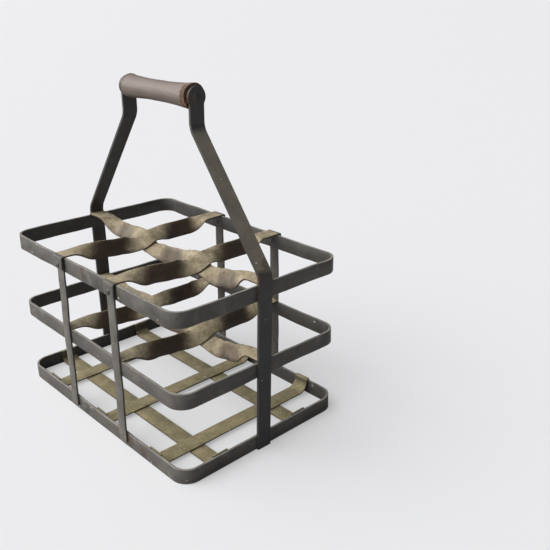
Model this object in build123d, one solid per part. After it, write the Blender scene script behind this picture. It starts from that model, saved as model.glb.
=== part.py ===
from build123d import *
import math
import os

# Six-bottle milk crate, made of flat iron strap with a turned wooden carrying grip.
# Millimetres. Origin at the bottom centre, +Z up. X runs along the crate and its grip, Y across it.
# Three hoops of strap on edge make the three tiers. Straps across and along each tier part the bottles,
# four upright straps and two handle arms tie the tiers together, and the grip turns on a riveted rod.

# ---- driving dimensions -------------------------------------------------------------------------------
crate_length = 290.0  # over the hoops, along X
crate_width = 202.0  # over the hoops, along Y
tier_pitch = 78.5  # from one hoop's lower edge to the next one's

hoop_depth = 15.5  # width of the strap that stands on edge
hoop_gauge = 2.4
hoop_corner_radius = 17.0  # outside
seam_gap = 0.5  # butt joint of the top hoop
seam_x = -2.5

divider_width = 18.0  # straps that part the bottles
divider_gauge = 1.6
divider_end_width = 15.5  # narrowed where it crosses the rim
divider_taper = 10.0  # length of the narrowing
cross_strap_x = (-44.0, 49.0)
crossing_sag = 7.5  # how far a crossing hangs below the rim
crossing_reach = 10.0  # half the flat stretch where two straps cross
cross_lean = 27.0  # tilt of a cross strap where it crosses the long one, in degrees
long_lean = 17.0  # tilt of the long strap there
crossing_gap = 0.1  # between two straps where they cross
station_step = 4.0  # length of one straight piece of a twisted run
lap_length = 13.0  # end of a top cross strap, folded down over the rim
lap_bend_radius = 1.6

upright_width = 12.0
upright_gauge = 2.0
upright_foot = 4.0  # height of the upright's lower end
upright_top_drop = 1.2  # from the top rim down to the upright's upper end

floor_cross_x = (-94.0, 3.0, 98.0)
floor_long_y = (-55.5, 47.0)
floor_clearance = 1.0  # under the lowest strap
floor_gap = 0.35  # between a turned-up end and the hoop
floor_front_radius = 8.0
floor_back_radius = 11.0
floor_long_radius = 6.0
floor_end_proud = 0.6  # how far a turned-up end stands over the rim

arm_width = 16.0
arm_gauge = 2.6
arm_lower_bend_z = 181.0
arm_upper_bend_z = 298.5
arm_bend_radius = 16.0
handle_half_span = 55.5  # from the handle's middle to the middle of each arm
handle_offset = -2.5  # the handle sits a little towards the left end
arm_foot_shift = {-1: 3.0, 1: -5.0}  # how far along Y each arm stands off centre at the ground, left and right
eye_radius = 10.0

rod_radius = 3.0
rod_axis_z = 326.5
rod_hole_clearance = 0.1
rod_head_radius = 4.6
rod_head_height = 1.2

grip_left_radius = 12.4
grip_right_radius = 13.0
grip_waist_radius = 10.1
grip_end_play = 0.9  # between the grip and each arm
grip_bore_clearance = 0.06  # radial running clearance on the rod
grip_edge_radius = 2.0

rivet_radius = 1.6
rivet_head_radius = 3.0
rivet_head_height = 1.3
rivet_clearance = 0.05
rivet_z_below_rim = 8.0

# ---- worked out from them -----------------------------------------------------------------------------
half_length = crate_length / 2
half_width = crate_width / 2
inner_half_length = half_length - hoop_gauge
inner_half_width = half_width - hoop_gauge
hoop_floor_z = [tier * tier_pitch for tier in range(3)]
rim_z = [z + hoop_depth for z in hoop_floor_z]
BOTTOM, MIDDLE, TOP = range(3)


# ---- shared shapes ------------------------------------------------------------------------------------
def hoop(tier):
    """A closed hoop of strap on edge, its lower edge at the tier's height."""
    outline = RectangleRounded(crate_length, crate_width, hoop_corner_radius)
    opening = RectangleRounded(
        2 * inner_half_length, 2 * inner_half_width, hoop_corner_radius - hoop_gauge
    )
    return Pos(0, 0, hoop_floor_z[tier]) * extrude(outline - opening, hoop_depth)


def bent_strap(points, radii, width, gauge):
    """A flat strap bent along a path in one plane: points are (along, height), the path is in the XZ plane."""
    path = FilletPolyline(*[(x, 0, z) for x, z in points], radius=radii)
    start = Plane(origin=path @ 0, x_dir=(0, 1, 0), z_dir=path % 0)
    return sweep(start * Rectangle(width, gauge), path=path)


def along_y(shape):
    """Turns a shape made along X so that it runs along Y."""
    return Rot(0, 0, 90) * shape


def twisted_strap(stations, gauge):
    """A strap along X through stations of (x, tilt, height, width).

    A positive tilt lifts the strap's +Y edge. Between two stations the strap is straight.
    """
    sections = []
    for x, tilt, height, width in stations:
        lean = math.radians(tilt)
        across = (0, math.cos(lean), math.sin(lean))
        plane = Plane(origin=(x, 0, height), x_dir=across, z_dir=(1, 0, 0))
        sections.append(plane * Rectangle(width, gauge))
    return loft(sections, ruled=True)


def blended(knots, x):
    """The value at x of a table of (x, value) knots, eased smoothly from knot to knot."""
    for (x0, v0), (x1, v1) in zip(knots, knots[1:]):
        if x <= x1:
            share = max(0.0, (x - x0) / (x1 - x0))
            return v0 + (v1 - v0) * share * share * (3 - 2 * share)
    return knots[-1][1]


def dome(radius, height):
    """A round cap standing on the XY plane."""
    ball_radius = (radius**2 + height**2) / (2 * height)
    ball = Pos(0, 0, height - ball_radius) * Sphere(ball_radius)
    return ball & Pos(0, 0, height / 2) * Cylinder(radius + 1, height)


def headed_pin(shank_radius, grip_length, head_radius, head_height):
    """A pin along +Z from the origin, with a domed head on each end of its shank."""
    shank = Pos(0, 0, grip_length / 2) * Cylinder(shank_radius, grip_length)
    head = dome(head_radius, head_height)
    return shank + Pos(0, 0, grip_length) * head + Rot(180, 0, 0) * head


# ---- dividers: twisted straps of the top and middle tiers ---------------------------------------------
def cross_strap_stations():
    """Tilts, heights below the rim and widths of a cross strap, front to back.

    It lies flat on the rim, stands nearly on edge beside the bottles and leans where it crosses the long strap.
    """
    rise = crossing_reach * math.tan(math.radians(long_lean))
    tilts = [
        (-92, 0), (-52, 80), (-34, 80), (-crossing_reach, cross_lean),
        (crossing_reach, cross_lean), (38, 78), (52, 78), (78, 0),
    ]
    heights = [
        (-92, 0), (-60, -5), (-34, -7.5), (-crossing_reach, -crossing_sag - rise),
        (crossing_reach, -crossing_sag + rise), (36, -5), (56, -5), (80, 0),
    ]
    end = half_width - 5
    return tilts, heights, end


def long_strap_stations():
    """The same for a long strap, which passes under both cross straps, left to right."""
    stack = divider_gauge / 2 / math.cos(math.radians(cross_lean))
    stack += divider_gauge / 2 / math.cos(math.radians(long_lean)) + crossing_gap
    fall = crossing_reach * math.tan(math.radians(cross_lean))
    tilts = [(-122, 0), (-88, 62), (-74, 62)]
    heights = [(-126, 0), (-94, -8), (-76, -8)]
    for crossing in cross_strap_x:
        before, after = crossing - crossing_reach, crossing + crossing_reach
        tilts += [(before, long_lean), (after, long_lean)]
        heights += [(before, -crossing_sag - stack + fall), (after, -crossing_sag - stack - fall)]
        if crossing == cross_strap_x[0]:
            tilts += [(-8, 68), (14, 68)]
            heights += [(-10, -15), (16, -12.5)]
    tilts += [(84, 64), (98, 64), (128, 0)]
    heights += [(76, -15.5), (92, -12.5), (132, 0)]
    end = half_length - crossing_gap
    return tilts, heights, end


def divider(tier, tilts, heights, end, flat_zones, end_width):
    """A twisted strap on a tier's rim: straight over each flat zone, finely stepped elsewhere."""
    count = round(2 * end / station_step)
    places = [-end + 2 * end * i / count for i in range(count + 1)]
    keep = [x for x in places if not any(a < x < b for a, b in flat_zones)]
    edges = [x for zone in flat_zones for x in zone]
    stations = []
    for x in sorted(set(keep + edges)):
        share = min(1.0, (end - abs(x)) / divider_taper)
        width = end_width + (divider_width - end_width) * share
        height = rim_z[tier] + divider_gauge / 2 + blended(heights, x)
        stations.append((x, blended(tilts, x), height, width))
    return twisted_strap(stations, divider_gauge)


def cross_strap(tier, x):
    """A cross strap. On the top tier its ends fold down outside the uprights."""
    tilts, heights, end = cross_strap_stations()
    zone = (-crossing_reach, crossing_reach)
    if tier == MIDDLE:
        end = half_width
    strap = divider(tier, tilts, heights, end, [zone], divider_end_width)
    if tier == TOP:
        level = rim_z[TOP] + divider_gauge / 2
        outside = half_width + upright_gauge + divider_gauge / 2
        route = [(end, level), (outside, level), (outside, level - lap_length)]
        lap = bent_strap(route, lap_bend_radius, divider_end_width, divider_gauge)
        strap = strap + lap + mirror(lap, Plane.YZ)
    return Pos(x, 0, 0) * along_y(strap)


def long_strap(tier):
    tilts, heights, end = long_strap_stations()
    zones = [(x - crossing_reach, x + crossing_reach) for x in cross_strap_x]
    return divider(tier, tilts, heights, end, zones, divider_width)


# ---- floor: flat straps under the bottles, ends turned up inside the bottom hoop ----------------------
def floor_long_strap(y):
    level = floor_clearance + divider_gauge / 2
    wall = inner_half_length - floor_gap - divider_gauge / 2
    top = rim_z[BOTTOM] + floor_end_proud
    route = [(-wall, top), (-wall, level), (wall, level), (wall, top)]
    return Pos(0, y, 0) * bent_strap(route, floor_long_radius, divider_width, divider_gauge)


def floor_cross_strap(x):
    """It lies over the long ones. Its back end folds over the hoop's rim."""
    level = floor_clearance + 1.5 * divider_gauge + crossing_gap
    wall = inner_half_width - floor_gap - divider_gauge / 2
    over = rim_z[BOTTOM] + floor_gap + divider_gauge / 2
    top = rim_z[BOTTOM] + floor_end_proud
    route = [(-wall, top), (-wall, level), (wall, level), (wall, over), (half_width, over)]
    radii = [floor_front_radius, floor_back_radius, divider_gauge]
    return Pos(x, 0, 0) * along_y(bent_strap(route, radii, divider_width, divider_gauge))


# ---- uprights and the rivets at their tops ------------------------------------------------------------
rivet_z = rim_z[TOP] - rivet_z_below_rim
rivet_start = inner_half_width  # the hoop's inner face
rivet_grip = hoop_gauge + upright_gauge + divider_gauge


def at_rivets(shape):
    """Copies a shape that runs along +Z to each rivet, pointing out of the crate."""
    outwards = [(1, -90), (-1, 90)]
    return [
        Pos(x, side * rivet_start, rivet_z) * Rot(turn, 0, 0) * shape
        for x in cross_strap_x
        for side, turn in outwards
    ]


def with_rivet_holes(shape):
    hole = Cylinder(rivet_radius + rivet_clearance, 4 * rivet_grip)
    for cutter in at_rivets(hole):
        shape = shape - cutter
    return shape


def upright(x, side):
    height = rim_z[TOP] - upright_top_drop - upright_foot
    strap = Box(upright_width, upright_gauge, height)
    strap = fillet(strap.edges().filter_by(Axis.Y).group_by(Axis.Z)[0], 2.0)
    place = Pos(x, side * (half_width + upright_gauge / 2), upright_foot + height / 2)
    return with_rivet_holes(place * strap)


# ---- handle -------------------------------------------------------------------------------------------
def arm_top_x(side):
    return handle_offset + side * handle_half_span


def handle_arm(side):
    """An arm stands outside the hoops, leans in over the crate and ends in an eye for the rod.

    Its foot stands a little off centre, so the whole arm is swung about the rod.
    """
    foot_x = side * (half_length + arm_gauge / 2)
    top_x = arm_top_x(side)
    route = [
        (foot_x, 0), (foot_x, arm_lower_bend_z), (top_x, arm_upper_bend_z), (top_x, rod_axis_z),
    ]
    strap = bent_strap(route, arm_bend_radius, arm_width, arm_gauge)
    eye = Pos(top_x, 0, rod_axis_z) * Rot(0, 90, 0) * Cylinder(eye_radius, arm_gauge)
    hole = Pos(top_x, 0, rod_axis_z) * Rot(0, 90, 0)
    hole = hole * Cylinder(rod_radius + rod_hole_clearance, 4 * arm_gauge)
    lean = math.degrees(math.asin(arm_foot_shift[side] / rod_axis_z))
    about_rod = Pos(0, 0, rod_axis_z) * Rot(lean, 0, 0) * Pos(0, 0, -rod_axis_z)
    ground = Pos(foot_x, 0, -arm_width / 2) * Box(4 * arm_width, 4 * arm_width, arm_width)
    return about_rod * (strap + eye - hole) - ground


def handle_rod():
    left_face = arm_top_x(-1) - arm_gauge / 2
    length = 2 * handle_half_span + arm_gauge
    pin = headed_pin(rod_radius, length, rod_head_radius, rod_head_height)
    return Pos(left_face, 0, rod_axis_z) * Rot(0, 90, 0) * pin


def wooden_grip():
    """A turned grip, thinner at its waist, bored for the rod."""
    half = handle_half_span - arm_gauge / 2 - grip_end_play
    bore = rod_radius + grip_bore_clearance
    left_rim, right_rim = (-half, grip_left_radius), (half, grip_right_radius)
    crown = ThreePointArc(left_rim, (0, grip_waist_radius), right_rim)
    sides = Polyline(right_rim, (half, bore), (-half, bore), left_rim)
    profile = make_face(Curve() + crown + sides)
    grip = revolve(profile, Axis.X)
    rims = grip.edges().filter_by(GeomType.CIRCLE).filter_by(lambda e: e.radius > grip_waist_radius)
    grip = fillet(rims, grip_edge_radius)
    return Pos(handle_offset, 0, rod_axis_z) * grip


# ---- the parts ----------------------------------------------------------------------------------------
def seam():
    return Pos(seam_x, -half_width, rim_z[TOP]) * Box(seam_gap, 4 * hoop_gauge, 4 * hoop_depth)


parts = {
    "bottom_hoop": hoop(BOTTOM),
    "middle_hoop": hoop(MIDDLE),
    "top_hoop": with_rivet_holes(hoop(TOP)) - seam(),
    "top_long_strap": long_strap(TOP),
    "middle_long_strap": long_strap(MIDDLE),
    "left_handle_arm": handle_arm(-1),
    "right_handle_arm": handle_arm(1),
    "handle_rod": handle_rod(),
    "wooden_grip": wooden_grip(),
    "lap_rivets": Compound(
        children=at_rivets(
            headed_pin(rivet_radius, rivet_grip, rivet_head_radius, rivet_head_height)
        )
    ),
}
for name, x in zip(("left", "right"), cross_strap_x):
    parts[f"top_cross_strap_{name}"] = with_rivet_holes(cross_strap(TOP, x))
    parts[f"middle_cross_strap_{name}"] = cross_strap(MIDDLE, x)
    parts[f"front_upright_{name}"] = upright(x, -1)
    parts[f"back_upright_{name}"] = upright(x, 1)
for name, x in zip(("left", "centre", "right"), floor_cross_x):
    parts[f"floor_cross_strap_{name}"] = floor_cross_strap(x)
for name, y in zip(("front", "back"), floor_long_y):
    parts[f"floor_long_strap_{name}"] = floor_long_strap(y)

os.makedirs("parts", exist_ok=True)
for name, shape in parts.items():
    export_step(shape, f"parts/{name}.step")
    print(f"{name:28s} {shape.volume:10.1f} mm3")
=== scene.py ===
# %% [markdown]
# # A strap-iron milk bottle crate, in Blender
# The crate is three hoops of flat iron standing on edge, tied together by four uprights and two handle arms.
# Twisted straps part six bottles from each other, flat straps make the floor, and a turned wooden grip spins
# on a rod at the top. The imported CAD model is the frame: it gives every place and size in metres, and the
# lesson builds each visible strap again over it, with worn edges and a weathered finish.

# %% Load the frame
import math

import bpy
from mathutils import Matrix, Vector


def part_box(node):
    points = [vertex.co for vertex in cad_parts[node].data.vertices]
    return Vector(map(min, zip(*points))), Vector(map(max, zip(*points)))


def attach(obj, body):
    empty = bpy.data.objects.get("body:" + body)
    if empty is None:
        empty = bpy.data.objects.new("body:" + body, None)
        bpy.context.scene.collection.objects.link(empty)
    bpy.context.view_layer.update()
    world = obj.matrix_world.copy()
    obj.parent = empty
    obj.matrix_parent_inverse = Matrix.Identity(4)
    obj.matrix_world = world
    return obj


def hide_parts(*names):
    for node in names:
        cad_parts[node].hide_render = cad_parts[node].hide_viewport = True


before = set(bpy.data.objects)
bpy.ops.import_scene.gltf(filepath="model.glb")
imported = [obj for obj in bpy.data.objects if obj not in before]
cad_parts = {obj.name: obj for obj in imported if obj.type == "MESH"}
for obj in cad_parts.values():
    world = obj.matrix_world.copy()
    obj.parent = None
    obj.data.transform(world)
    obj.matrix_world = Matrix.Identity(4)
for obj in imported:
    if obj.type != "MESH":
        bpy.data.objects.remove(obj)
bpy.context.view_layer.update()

# %% [markdown]
# ## Working habits
# Blender's operators act on whatever is selected, and loading the frame leaves its nodes selected. So each
# piece starts by letting go of everything, and a new primitive gets its name as soon as it is added. Every
# finished piece keeps its object at the origin with its place in its mesh, as the frame's own nodes do.

# %% Selecting and naming
mm = 0.001


def let_go():
    bpy.ops.object.select_all(action="DESELECT")


def hold(piece):
    """Makes one piece the only selected and the active one."""
    let_go()
    piece.select_set(True)
    bpy.context.view_layer.objects.active = piece


def named(name):
    """Names the primitive that was just added, and moves its place and size into its mesh."""
    piece = bpy.context.object
    piece.name = piece.data.name = name
    bpy.ops.object.transform_apply(location=True, rotation=True, scale=True)
    return piece


def edit():
    bpy.ops.object.mode_set(mode="EDIT")


def leave_edit():
    bpy.ops.object.mode_set(mode="OBJECT")


def pick(piece, kind, test):
    """In edit mode, selects the vertices, edges or faces whose middle passes a test, and no others."""
    bpy.ops.mesh.select_mode(type=kind)
    bpy.ops.mesh.select_all(action="DESELECT")
    leave_edit()
    mesh = piece.data
    if kind == "VERT":
        chosen = [v for v in mesh.vertices if test(v.co)]
    elif kind == "EDGE":
        chosen = [
            e for e in mesh.edges
            if test(mesh.vertices[e.vertices[0]].co, mesh.vertices[e.vertices[1]].co)
        ]
    else:
        chosen = [f for f in mesh.polygons if test(f.center, f.normal)]
    for part in chosen:
        part.select = True
    edit()


def face_outwards():
    """Turns every face of the piece in edit mode outwards, and leaves edit mode."""
    bpy.ops.mesh.select_all(action="SELECT")
    bpy.ops.mesh.normals_make_consistent(inside=False)
    leave_edit()


let_go()
print("one millimetre is", mm, "in the scene; selected:", len(bpy.context.selected_objects))

# %% [markdown]
# A modifier is applied as soon as it is set, so that what follows works on the real mesh. Comparing each
# piece's box with its node's box shows at once if a piece was built at the wrong place or size.

# %% Modifiers and measuring
def finish_with(piece, kind, **settings):
    """Adds one modifier, sets it and applies it."""
    hold(piece)
    modifier = piece.modifiers.new(kind.lower(), kind)
    for key, value in settings.items():
        setattr(modifier, key, value)
    bpy.ops.object.modifier_apply(modifier=modifier.name)


def discard(helper):
    bpy.data.objects.remove(helper, do_unlink=True)


def compare(piece, node):
    """Prints how far a piece's box is from its node's box, in millimetres."""
    low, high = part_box(node)
    corners = [Vector(c) for c in piece.bound_box]
    piece_low = Vector(map(min, *corners))
    piece_high = Vector(map(max, *corners))
    gaps = [abs(a - b) for a, b in zip((*piece_low, *piece_high), (*low, *high))]
    print(f"{piece.name}: {len(piece.data.polygons)} faces, box within {max(gaps) / mm:.2f} mm of {node}")


print("each piece is compared with one of", ", ".join(sorted(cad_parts)))

# %% [markdown]
# ## Rounded strap edges
# Rolled strap never has a knife edge: the mill rounds it and years of carrying wear it brighter. A Bevel
# modifier limited by angle rounds just the four long edges and the ends, and smooth shading by angle keeps
# the flats flat. A gentle Displace with a coloured clouds pattern then shifts the whole strap a few tenths
# of a millimetre this way and that, because strap straightened by hand is never quite true. The pattern is
# fixed in space, so two straps that touch are shifted together and still touch.

# %% Soften and unsettle a strap
waver = bpy.data.textures.new("waver", "CLOUDS")
waver.cloud_type = "COLOR"
waver.noise_scale = 0.055
unevenness = 2.2 * mm
edge_round = 0.35 * mm
sharp_angle = math.radians(40)
smooth_angle = math.radians(35)
hold_height = 6 * mm


def soften(piece, edge=edge_round, segments=2):
    finish_with(
        piece, "BEVEL", width=edge, segments=segments, limit_method="ANGLE", angle_limit=sharp_angle
    )
    hold(piece)
    bpy.ops.object.shade_smooth_by_angle(angle=smooth_angle)


def unsettle(piece, strength, lowest=None):
    """Shifts the mesh by a smooth coloured pattern, but nothing below the lowest height."""
    group = piece.vertex_groups.new(name="free")
    for v in piece.data.vertices:
        rise = 1.0 if lowest is None else min(1.0, max(0.0, (v.co.z - lowest) / hold_height))
        group.add([v.index], rise, "REPLACE")
    finish_with(
        piece, "DISPLACE", texture=waver, texture_coords="LOCAL", direction="RGB_TO_XYZ",
        strength=strength, mid_level=0.5, vertex_group="free",
    )


print(f"edges rounded by {edge_round / mm} mm, straps shifted by up to {unevenness / 2 / mm} mm each way")

# %% [markdown]
# ## Hoops
# A hoop is one strap bent on edge round a block and closed with a joint. It could be a curve with a bevel,
# but the plan outline is so simple that a plane is quicker: its four corners are beveled into arcs, the
# face is thrown away, the outline is extruded up into a wall, and Solidify gives the wall the strap's
# gauge, inwards, so that the outside keeps the true size.

# %% Make the three hoops
hoop_gauge = 2.4 * mm
hoop_corner = 17 * mm
corner_steps = 14
shortest_side = 20 * mm
cuts_per_side = 23


def hoop(name, node):
    low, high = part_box(node)
    let_go()
    bpy.ops.mesh.primitive_plane_add(size=1, location=(0, 0, low.z))
    edit()
    bpy.ops.transform.resize(value=(high.x - low.x, high.y - low.y, 1))
    bpy.ops.mesh.bevel(affect="VERTICES", offset=hoop_corner, segments=corner_steps)
    bpy.ops.mesh.delete(type="ONLY_FACE")
    leave_edit()
    piece = named(name)
    edit()
    pick(piece, "EDGE", lambda a, b: (a - b).length > shortest_side)
    bpy.ops.mesh.subdivide(number_cuts=cuts_per_side)
    bpy.ops.mesh.select_all(action="SELECT")
    bpy.ops.mesh.extrude_edges_move(TRANSFORM_OT_translate={"value": (0, 0, high.z - low.z)})
    face_outwards()
    finish_with(piece, "SOLIDIFY", thickness=hoop_gauge, offset=-1, use_even_offset=True)
    compare(piece, node)
    return piece


hoops = {}
for tier in ("bottom", "middle", "top"):
    hoops[tier] = hoop(f"{tier}_hoop_of_strap", f"{tier}_hoop")

# %% [markdown]
# ## The joint in the top hoop
# The two ends of the top hoop meet in a plain butt joint on the long side that faces the front. A thin box
# taken away with a Boolean leaves the same slot that the frame has, and the bevel afterwards wears its lips.

# %% Cut the joint, then round and unsettle the hoops
joint_x = -2.5 * mm
joint_gap = 0.5 * mm


def take_away(piece, cutter):
    finish_with(piece, "BOOLEAN", operation="DIFFERENCE", solver="EXACT", object=cutter)
    discard(cutter)


top_low, top_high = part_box("top_hoop")
let_go()
bpy.ops.mesh.primitive_cube_add(size=1, location=(joint_x, top_low.y, (top_low.z + top_high.z) / 2))
bpy.ops.transform.resize(value=(joint_gap, 4 * hoop_gauge, 2 * (top_high.z - top_low.z)))
take_away(hoops["top"], named("joint_cutter"))

for tier, piece in hoops.items():
    soften(piece)
    unsettle(piece, unevenness, lowest=0 if tier == "bottom" else None)
print("hoops cut, rounded and made uneven; faces:", [len(h.data.polygons) for h in hoops.values()])

# %% [markdown]
# ## Folded straps
# The handle arms and the floor straps are flat strap bent one way only. Each starts as a plane, its end edge
# is extruded from corner to corner of the route, and each fold is beveled into an arc of the real bending
# radius. Solidify then gives it the gauge on both sides of that middle sheet.

# %% A strap folded along a route
arc_steps = 12
face_length = 9 * mm
near = 1e-6


def folded_strap(name, route, radii, width, gauge):
    """A strap in the XZ plane through a route of (x, z), centred on Y."""
    points = [Vector((x, 0, z)) for x, z in route]
    let_go()
    bpy.ops.mesh.primitive_plane_add(size=1, location=(0, 0, 0))
    piece = named(name)
    edit()
    bpy.ops.transform.resize(value=(1, width, 1))
    for sign, place in ((-1, points[0]), (1, points[1])):
        pick(piece, "VERT", lambda co: abs(co.x - sign * 0.5) < near and abs(co.z) < 1e-9)
        bpy.ops.transform.translate(value=place - Vector((sign * 0.5, 0, 0)))
    pick(piece, "VERT", lambda co: (Vector((co.x, 0, co.z)) - points[1]).length < near)
    bpy.ops.mesh.select_mode(type="EDGE")
    for before, after in zip(points[1:], points[2:]):
        bpy.ops.mesh.extrude_edges_move(TRANSFORM_OT_translate={"value": after - before})
    for i, radius in enumerate(radii, start=1):
        turn = (points[i] - points[i - 1]).angle(points[i + 1] - points[i])
        pick(
            piece, "EDGE",
            lambda a, b: all((Vector((c.x, 0, c.z)) - points[i]).length < near for c in (a, b)),
        )
        bpy.ops.mesh.bevel(offset=radius * math.tan(turn / 2), segments=arc_steps, affect="EDGES")
    face_outwards()
    finish_with(piece, "SOLIDIFY", thickness=gauge, offset=0, use_even_offset=True)
    return piece


def shorten_faces(piece):
    """Cuts long faces across with parallel planes, so that a strap can waver along its length."""
    low = Vector(map(min, *[v.co for v in piece.data.vertices]))
    high = Vector(map(max, *[v.co for v in piece.data.vertices]))
    hold(piece)
    edit()
    for axis in range(3):
        normal = Vector([float(axis == k) for k in range(3)])
        for i in range(1, int((high[axis] - low[axis]) / face_length)):
            bpy.ops.mesh.select_all(action="SELECT")
            bpy.ops.mesh.bisect(plane_co=low + normal * face_length * i, plane_no=normal)
    leave_edit()


print(f"folds in {arc_steps} steps, faces up to {face_length / mm:.0f} mm long")

# %% [markdown]
# ## Floor straps
# Two long straps lie lowest, and three cross straps lie over them. All turn up inside the bottom hoop; the
# cross straps also fold back over the hoop's rim at the rear. A cross strap is made along X like the others
# and then turned by a quarter and moved to its place.

# %% Make the floor
strap_gauge = 1.6 * mm
floor_width = 18 * mm
long_fold = 6 * mm
front_fold, rear_fold, rim_fold = 8 * mm, 11 * mm, 1.6 * mm
floor_hold = 1.2 * mm


def turn_and_move(piece, turn, offset):
    hold(piece)
    piece.matrix_world = Matrix.Translation(offset) @ Matrix.Rotation(turn, 4, "Z")
    bpy.ops.object.transform_apply(location=True, rotation=True, scale=True)


def middle_of(node):
    low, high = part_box(node)
    return (low + high) / 2


floor = {}
for place in ("front", "back"):
    node = f"floor_long_strap_{place}"
    low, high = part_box(node)
    wall, level = high.x - strap_gauge / 2, low.z + strap_gauge / 2
    route = [(-wall, high.z), (-wall, level), (wall, level), (wall, high.z)]
    piece = folded_strap(f"{node}_bent", route, [long_fold, long_fold], floor_width, strap_gauge)
    turn_and_move(piece, 0, Vector((0, middle_of(node).y, 0)))
    floor[node] = piece
    compare(piece, node)

for place in ("left", "centre", "right"):
    node = f"floor_cross_strap_{place}"
    low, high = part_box(node)
    wall, level = -low.y - strap_gauge / 2, low.z + strap_gauge / 2
    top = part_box("floor_long_strap_front")[1].z
    over = high.z - strap_gauge / 2
    route = [(-wall, top), (-wall, level), (wall, level), (wall, over), (high.y, over)]
    folds = [front_fold, rear_fold, rim_fold]
    piece = folded_strap(f"{node}_bent", route, folds, floor_width, strap_gauge)
    turn_and_move(piece, math.pi / 2, Vector((middle_of(node).x, 0, 0)))
    floor[node] = piece
    compare(piece, node)

for piece in floor.values():
    soften(piece)
    shorten_faces(piece)
    unsettle(piece, unevenness, lowest=floor_hold)
print("floor straps rounded and made uneven:", len(floor))

# %% [markdown]
# ## Uprights
# Four short straps stand outside the hoops and tie the tiers together. Each is a cube drawn out to the
# strap's size, with the two lower corners clipped round as the shears left them.

# %% Make the uprights
clipped_corner = 2 * mm
uprights = {}
for face in ("front", "back"):
    for place in ("left", "right"):
        node = f"{face}_upright_{place}"
        low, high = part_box(node)
        let_go()
        bpy.ops.mesh.primitive_cube_add(size=1, location=(low + high) / 2)
        bpy.ops.transform.resize(value=high - low)
        piece = named(f"{node}_strap")
        edit()
        pick(piece, "EDGE", lambda a, b: abs(a.x - b.x) < near and max(a.z, b.z) < low.z + 10 * near)
        bpy.ops.mesh.bevel(offset=clipped_corner, segments=5, affect="EDGES")
        leave_edit()
        compare(piece, node)
        soften(piece)
        shorten_faces(piece)
        unsettle(piece, unevenness, lowest=0)
        uprights[node] = piece

# %% [markdown]
# ## Handle arms
# An arm stands outside the hoops, leans in over the bottles, straightens again and ends in a round eye that
# is a little wider than the strap. The eye is a disc joined on with a Boolean union, so that the bevel can
# run round the neck where the smith filed it, and the rod's hole is cut last. The feet don't stand quite
# on the middle line, so each arm is swung a little about the rod, and its foot is cut level again.

# %% Make the arms
arm_gauge = 2.6 * mm
arm_width = 16 * mm
arm_bend = 16 * mm
lower_bend_z = 181 * mm
upper_bend_z = 298.5 * mm
arm_edge = 0.5 * mm
eye_radius = 10 * mm
rod_radius = 3 * mm
hole_play = 0.1 * mm
rod_low, rod_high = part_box("handle_rod")
rod_z = (rod_low.z + rod_high.z) / 2


def disc(name, x, radius, thickness):
    let_go()
    bpy.ops.mesh.primitive_cylinder_add(
        vertices=64, radius=radius, depth=thickness, location=(x, 0, rod_z), rotation=(0, math.pi / 2, 0)
    )
    return named(name)


def swing(piece, foot_shift):
    """Turns an arm about the rod until its foot has moved by foot_shift along Y, then cuts the foot level."""
    hold(piece)
    about = Matrix.Translation((0, 0, rod_z))
    piece.matrix_world = about @ Matrix.Rotation(math.asin(foot_shift / rod_z), 4, "X") @ about.inverted()
    bpy.ops.object.transform_apply(location=True, rotation=True, scale=True)
    edit()
    bpy.ops.mesh.select_all(action="SELECT")
    bpy.ops.mesh.bisect(
        plane_co=(0, 0, 0), plane_no=(0, 0, 1), threshold=1e-7, use_fill=True, clear_inner=True
    )
    leave_edit()


arms = {}
for place, side in (("left", -1), ("right", 1)):
    node = f"{place}_handle_arm"
    low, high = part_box(node)
    outer, inner = (low.x, high.x) if side < 0 else (high.x, low.x)
    foot_x, top_x = outer - side * arm_gauge / 2, inner + side * arm_gauge / 2
    route = [(foot_x, 0), (foot_x, lower_bend_z), (top_x, upper_bend_z), (top_x, rod_z)]
    piece = folded_strap(f"{node}_forged", route, [arm_bend, arm_bend], arm_width, arm_gauge)
    eye = disc("eye", top_x, eye_radius, arm_gauge)
    finish_with(piece, "BOOLEAN", operation="UNION", solver="EXACT", object=eye)
    discard(eye)
    take_away(piece, disc("rod_hole", top_x, rod_radius + hole_play, 4 * arm_gauge))
    overhang = low.y + high.y
    swing(piece, overhang + math.copysign(eye_radius - arm_width / 2, overhang))
    compare(piece, node)
    soften(piece, edge=arm_edge, segments=3)
    arms[node] = piece

# %% [markdown]
# ## Twisted dividers
# The straps between the bottles lie flat on the rims and twist almost on edge beside each bottle. Turning a
# strap in a vice does this to steel, and a Curve modifier does it to a mesh: a straight, finely divided
# strap follows a guide whose points carry a tilt. The guides repeat the frame's own stations, as tables of
# place and value that are eased from one entry to the next. Places are millimetres from the strap's middle,
# heights are millimetres from the rim and tilts are degrees. Where two straps cross, each leans as the other
# climbs.

# %% The guide tables
rim_z = {tier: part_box(f"{tier}_hoop")[1].z for tier in hoops}
cross_x = {place: middle_of(f"top_cross_strap_{place}").x for place in ("left", "right")}
reach = 10.0
cross_lean = 27.0
long_lean = 17.0
sag = 7.5
crossing_gap = 0.1
half_gauge = strap_gauge / mm / 2
rise = reach * math.tan(math.radians(long_lean))
fall = reach * math.tan(math.radians(cross_lean))
stack = sum(half_gauge / math.cos(math.radians(lean)) for lean in (cross_lean, long_lean)) + crossing_gap

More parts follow.
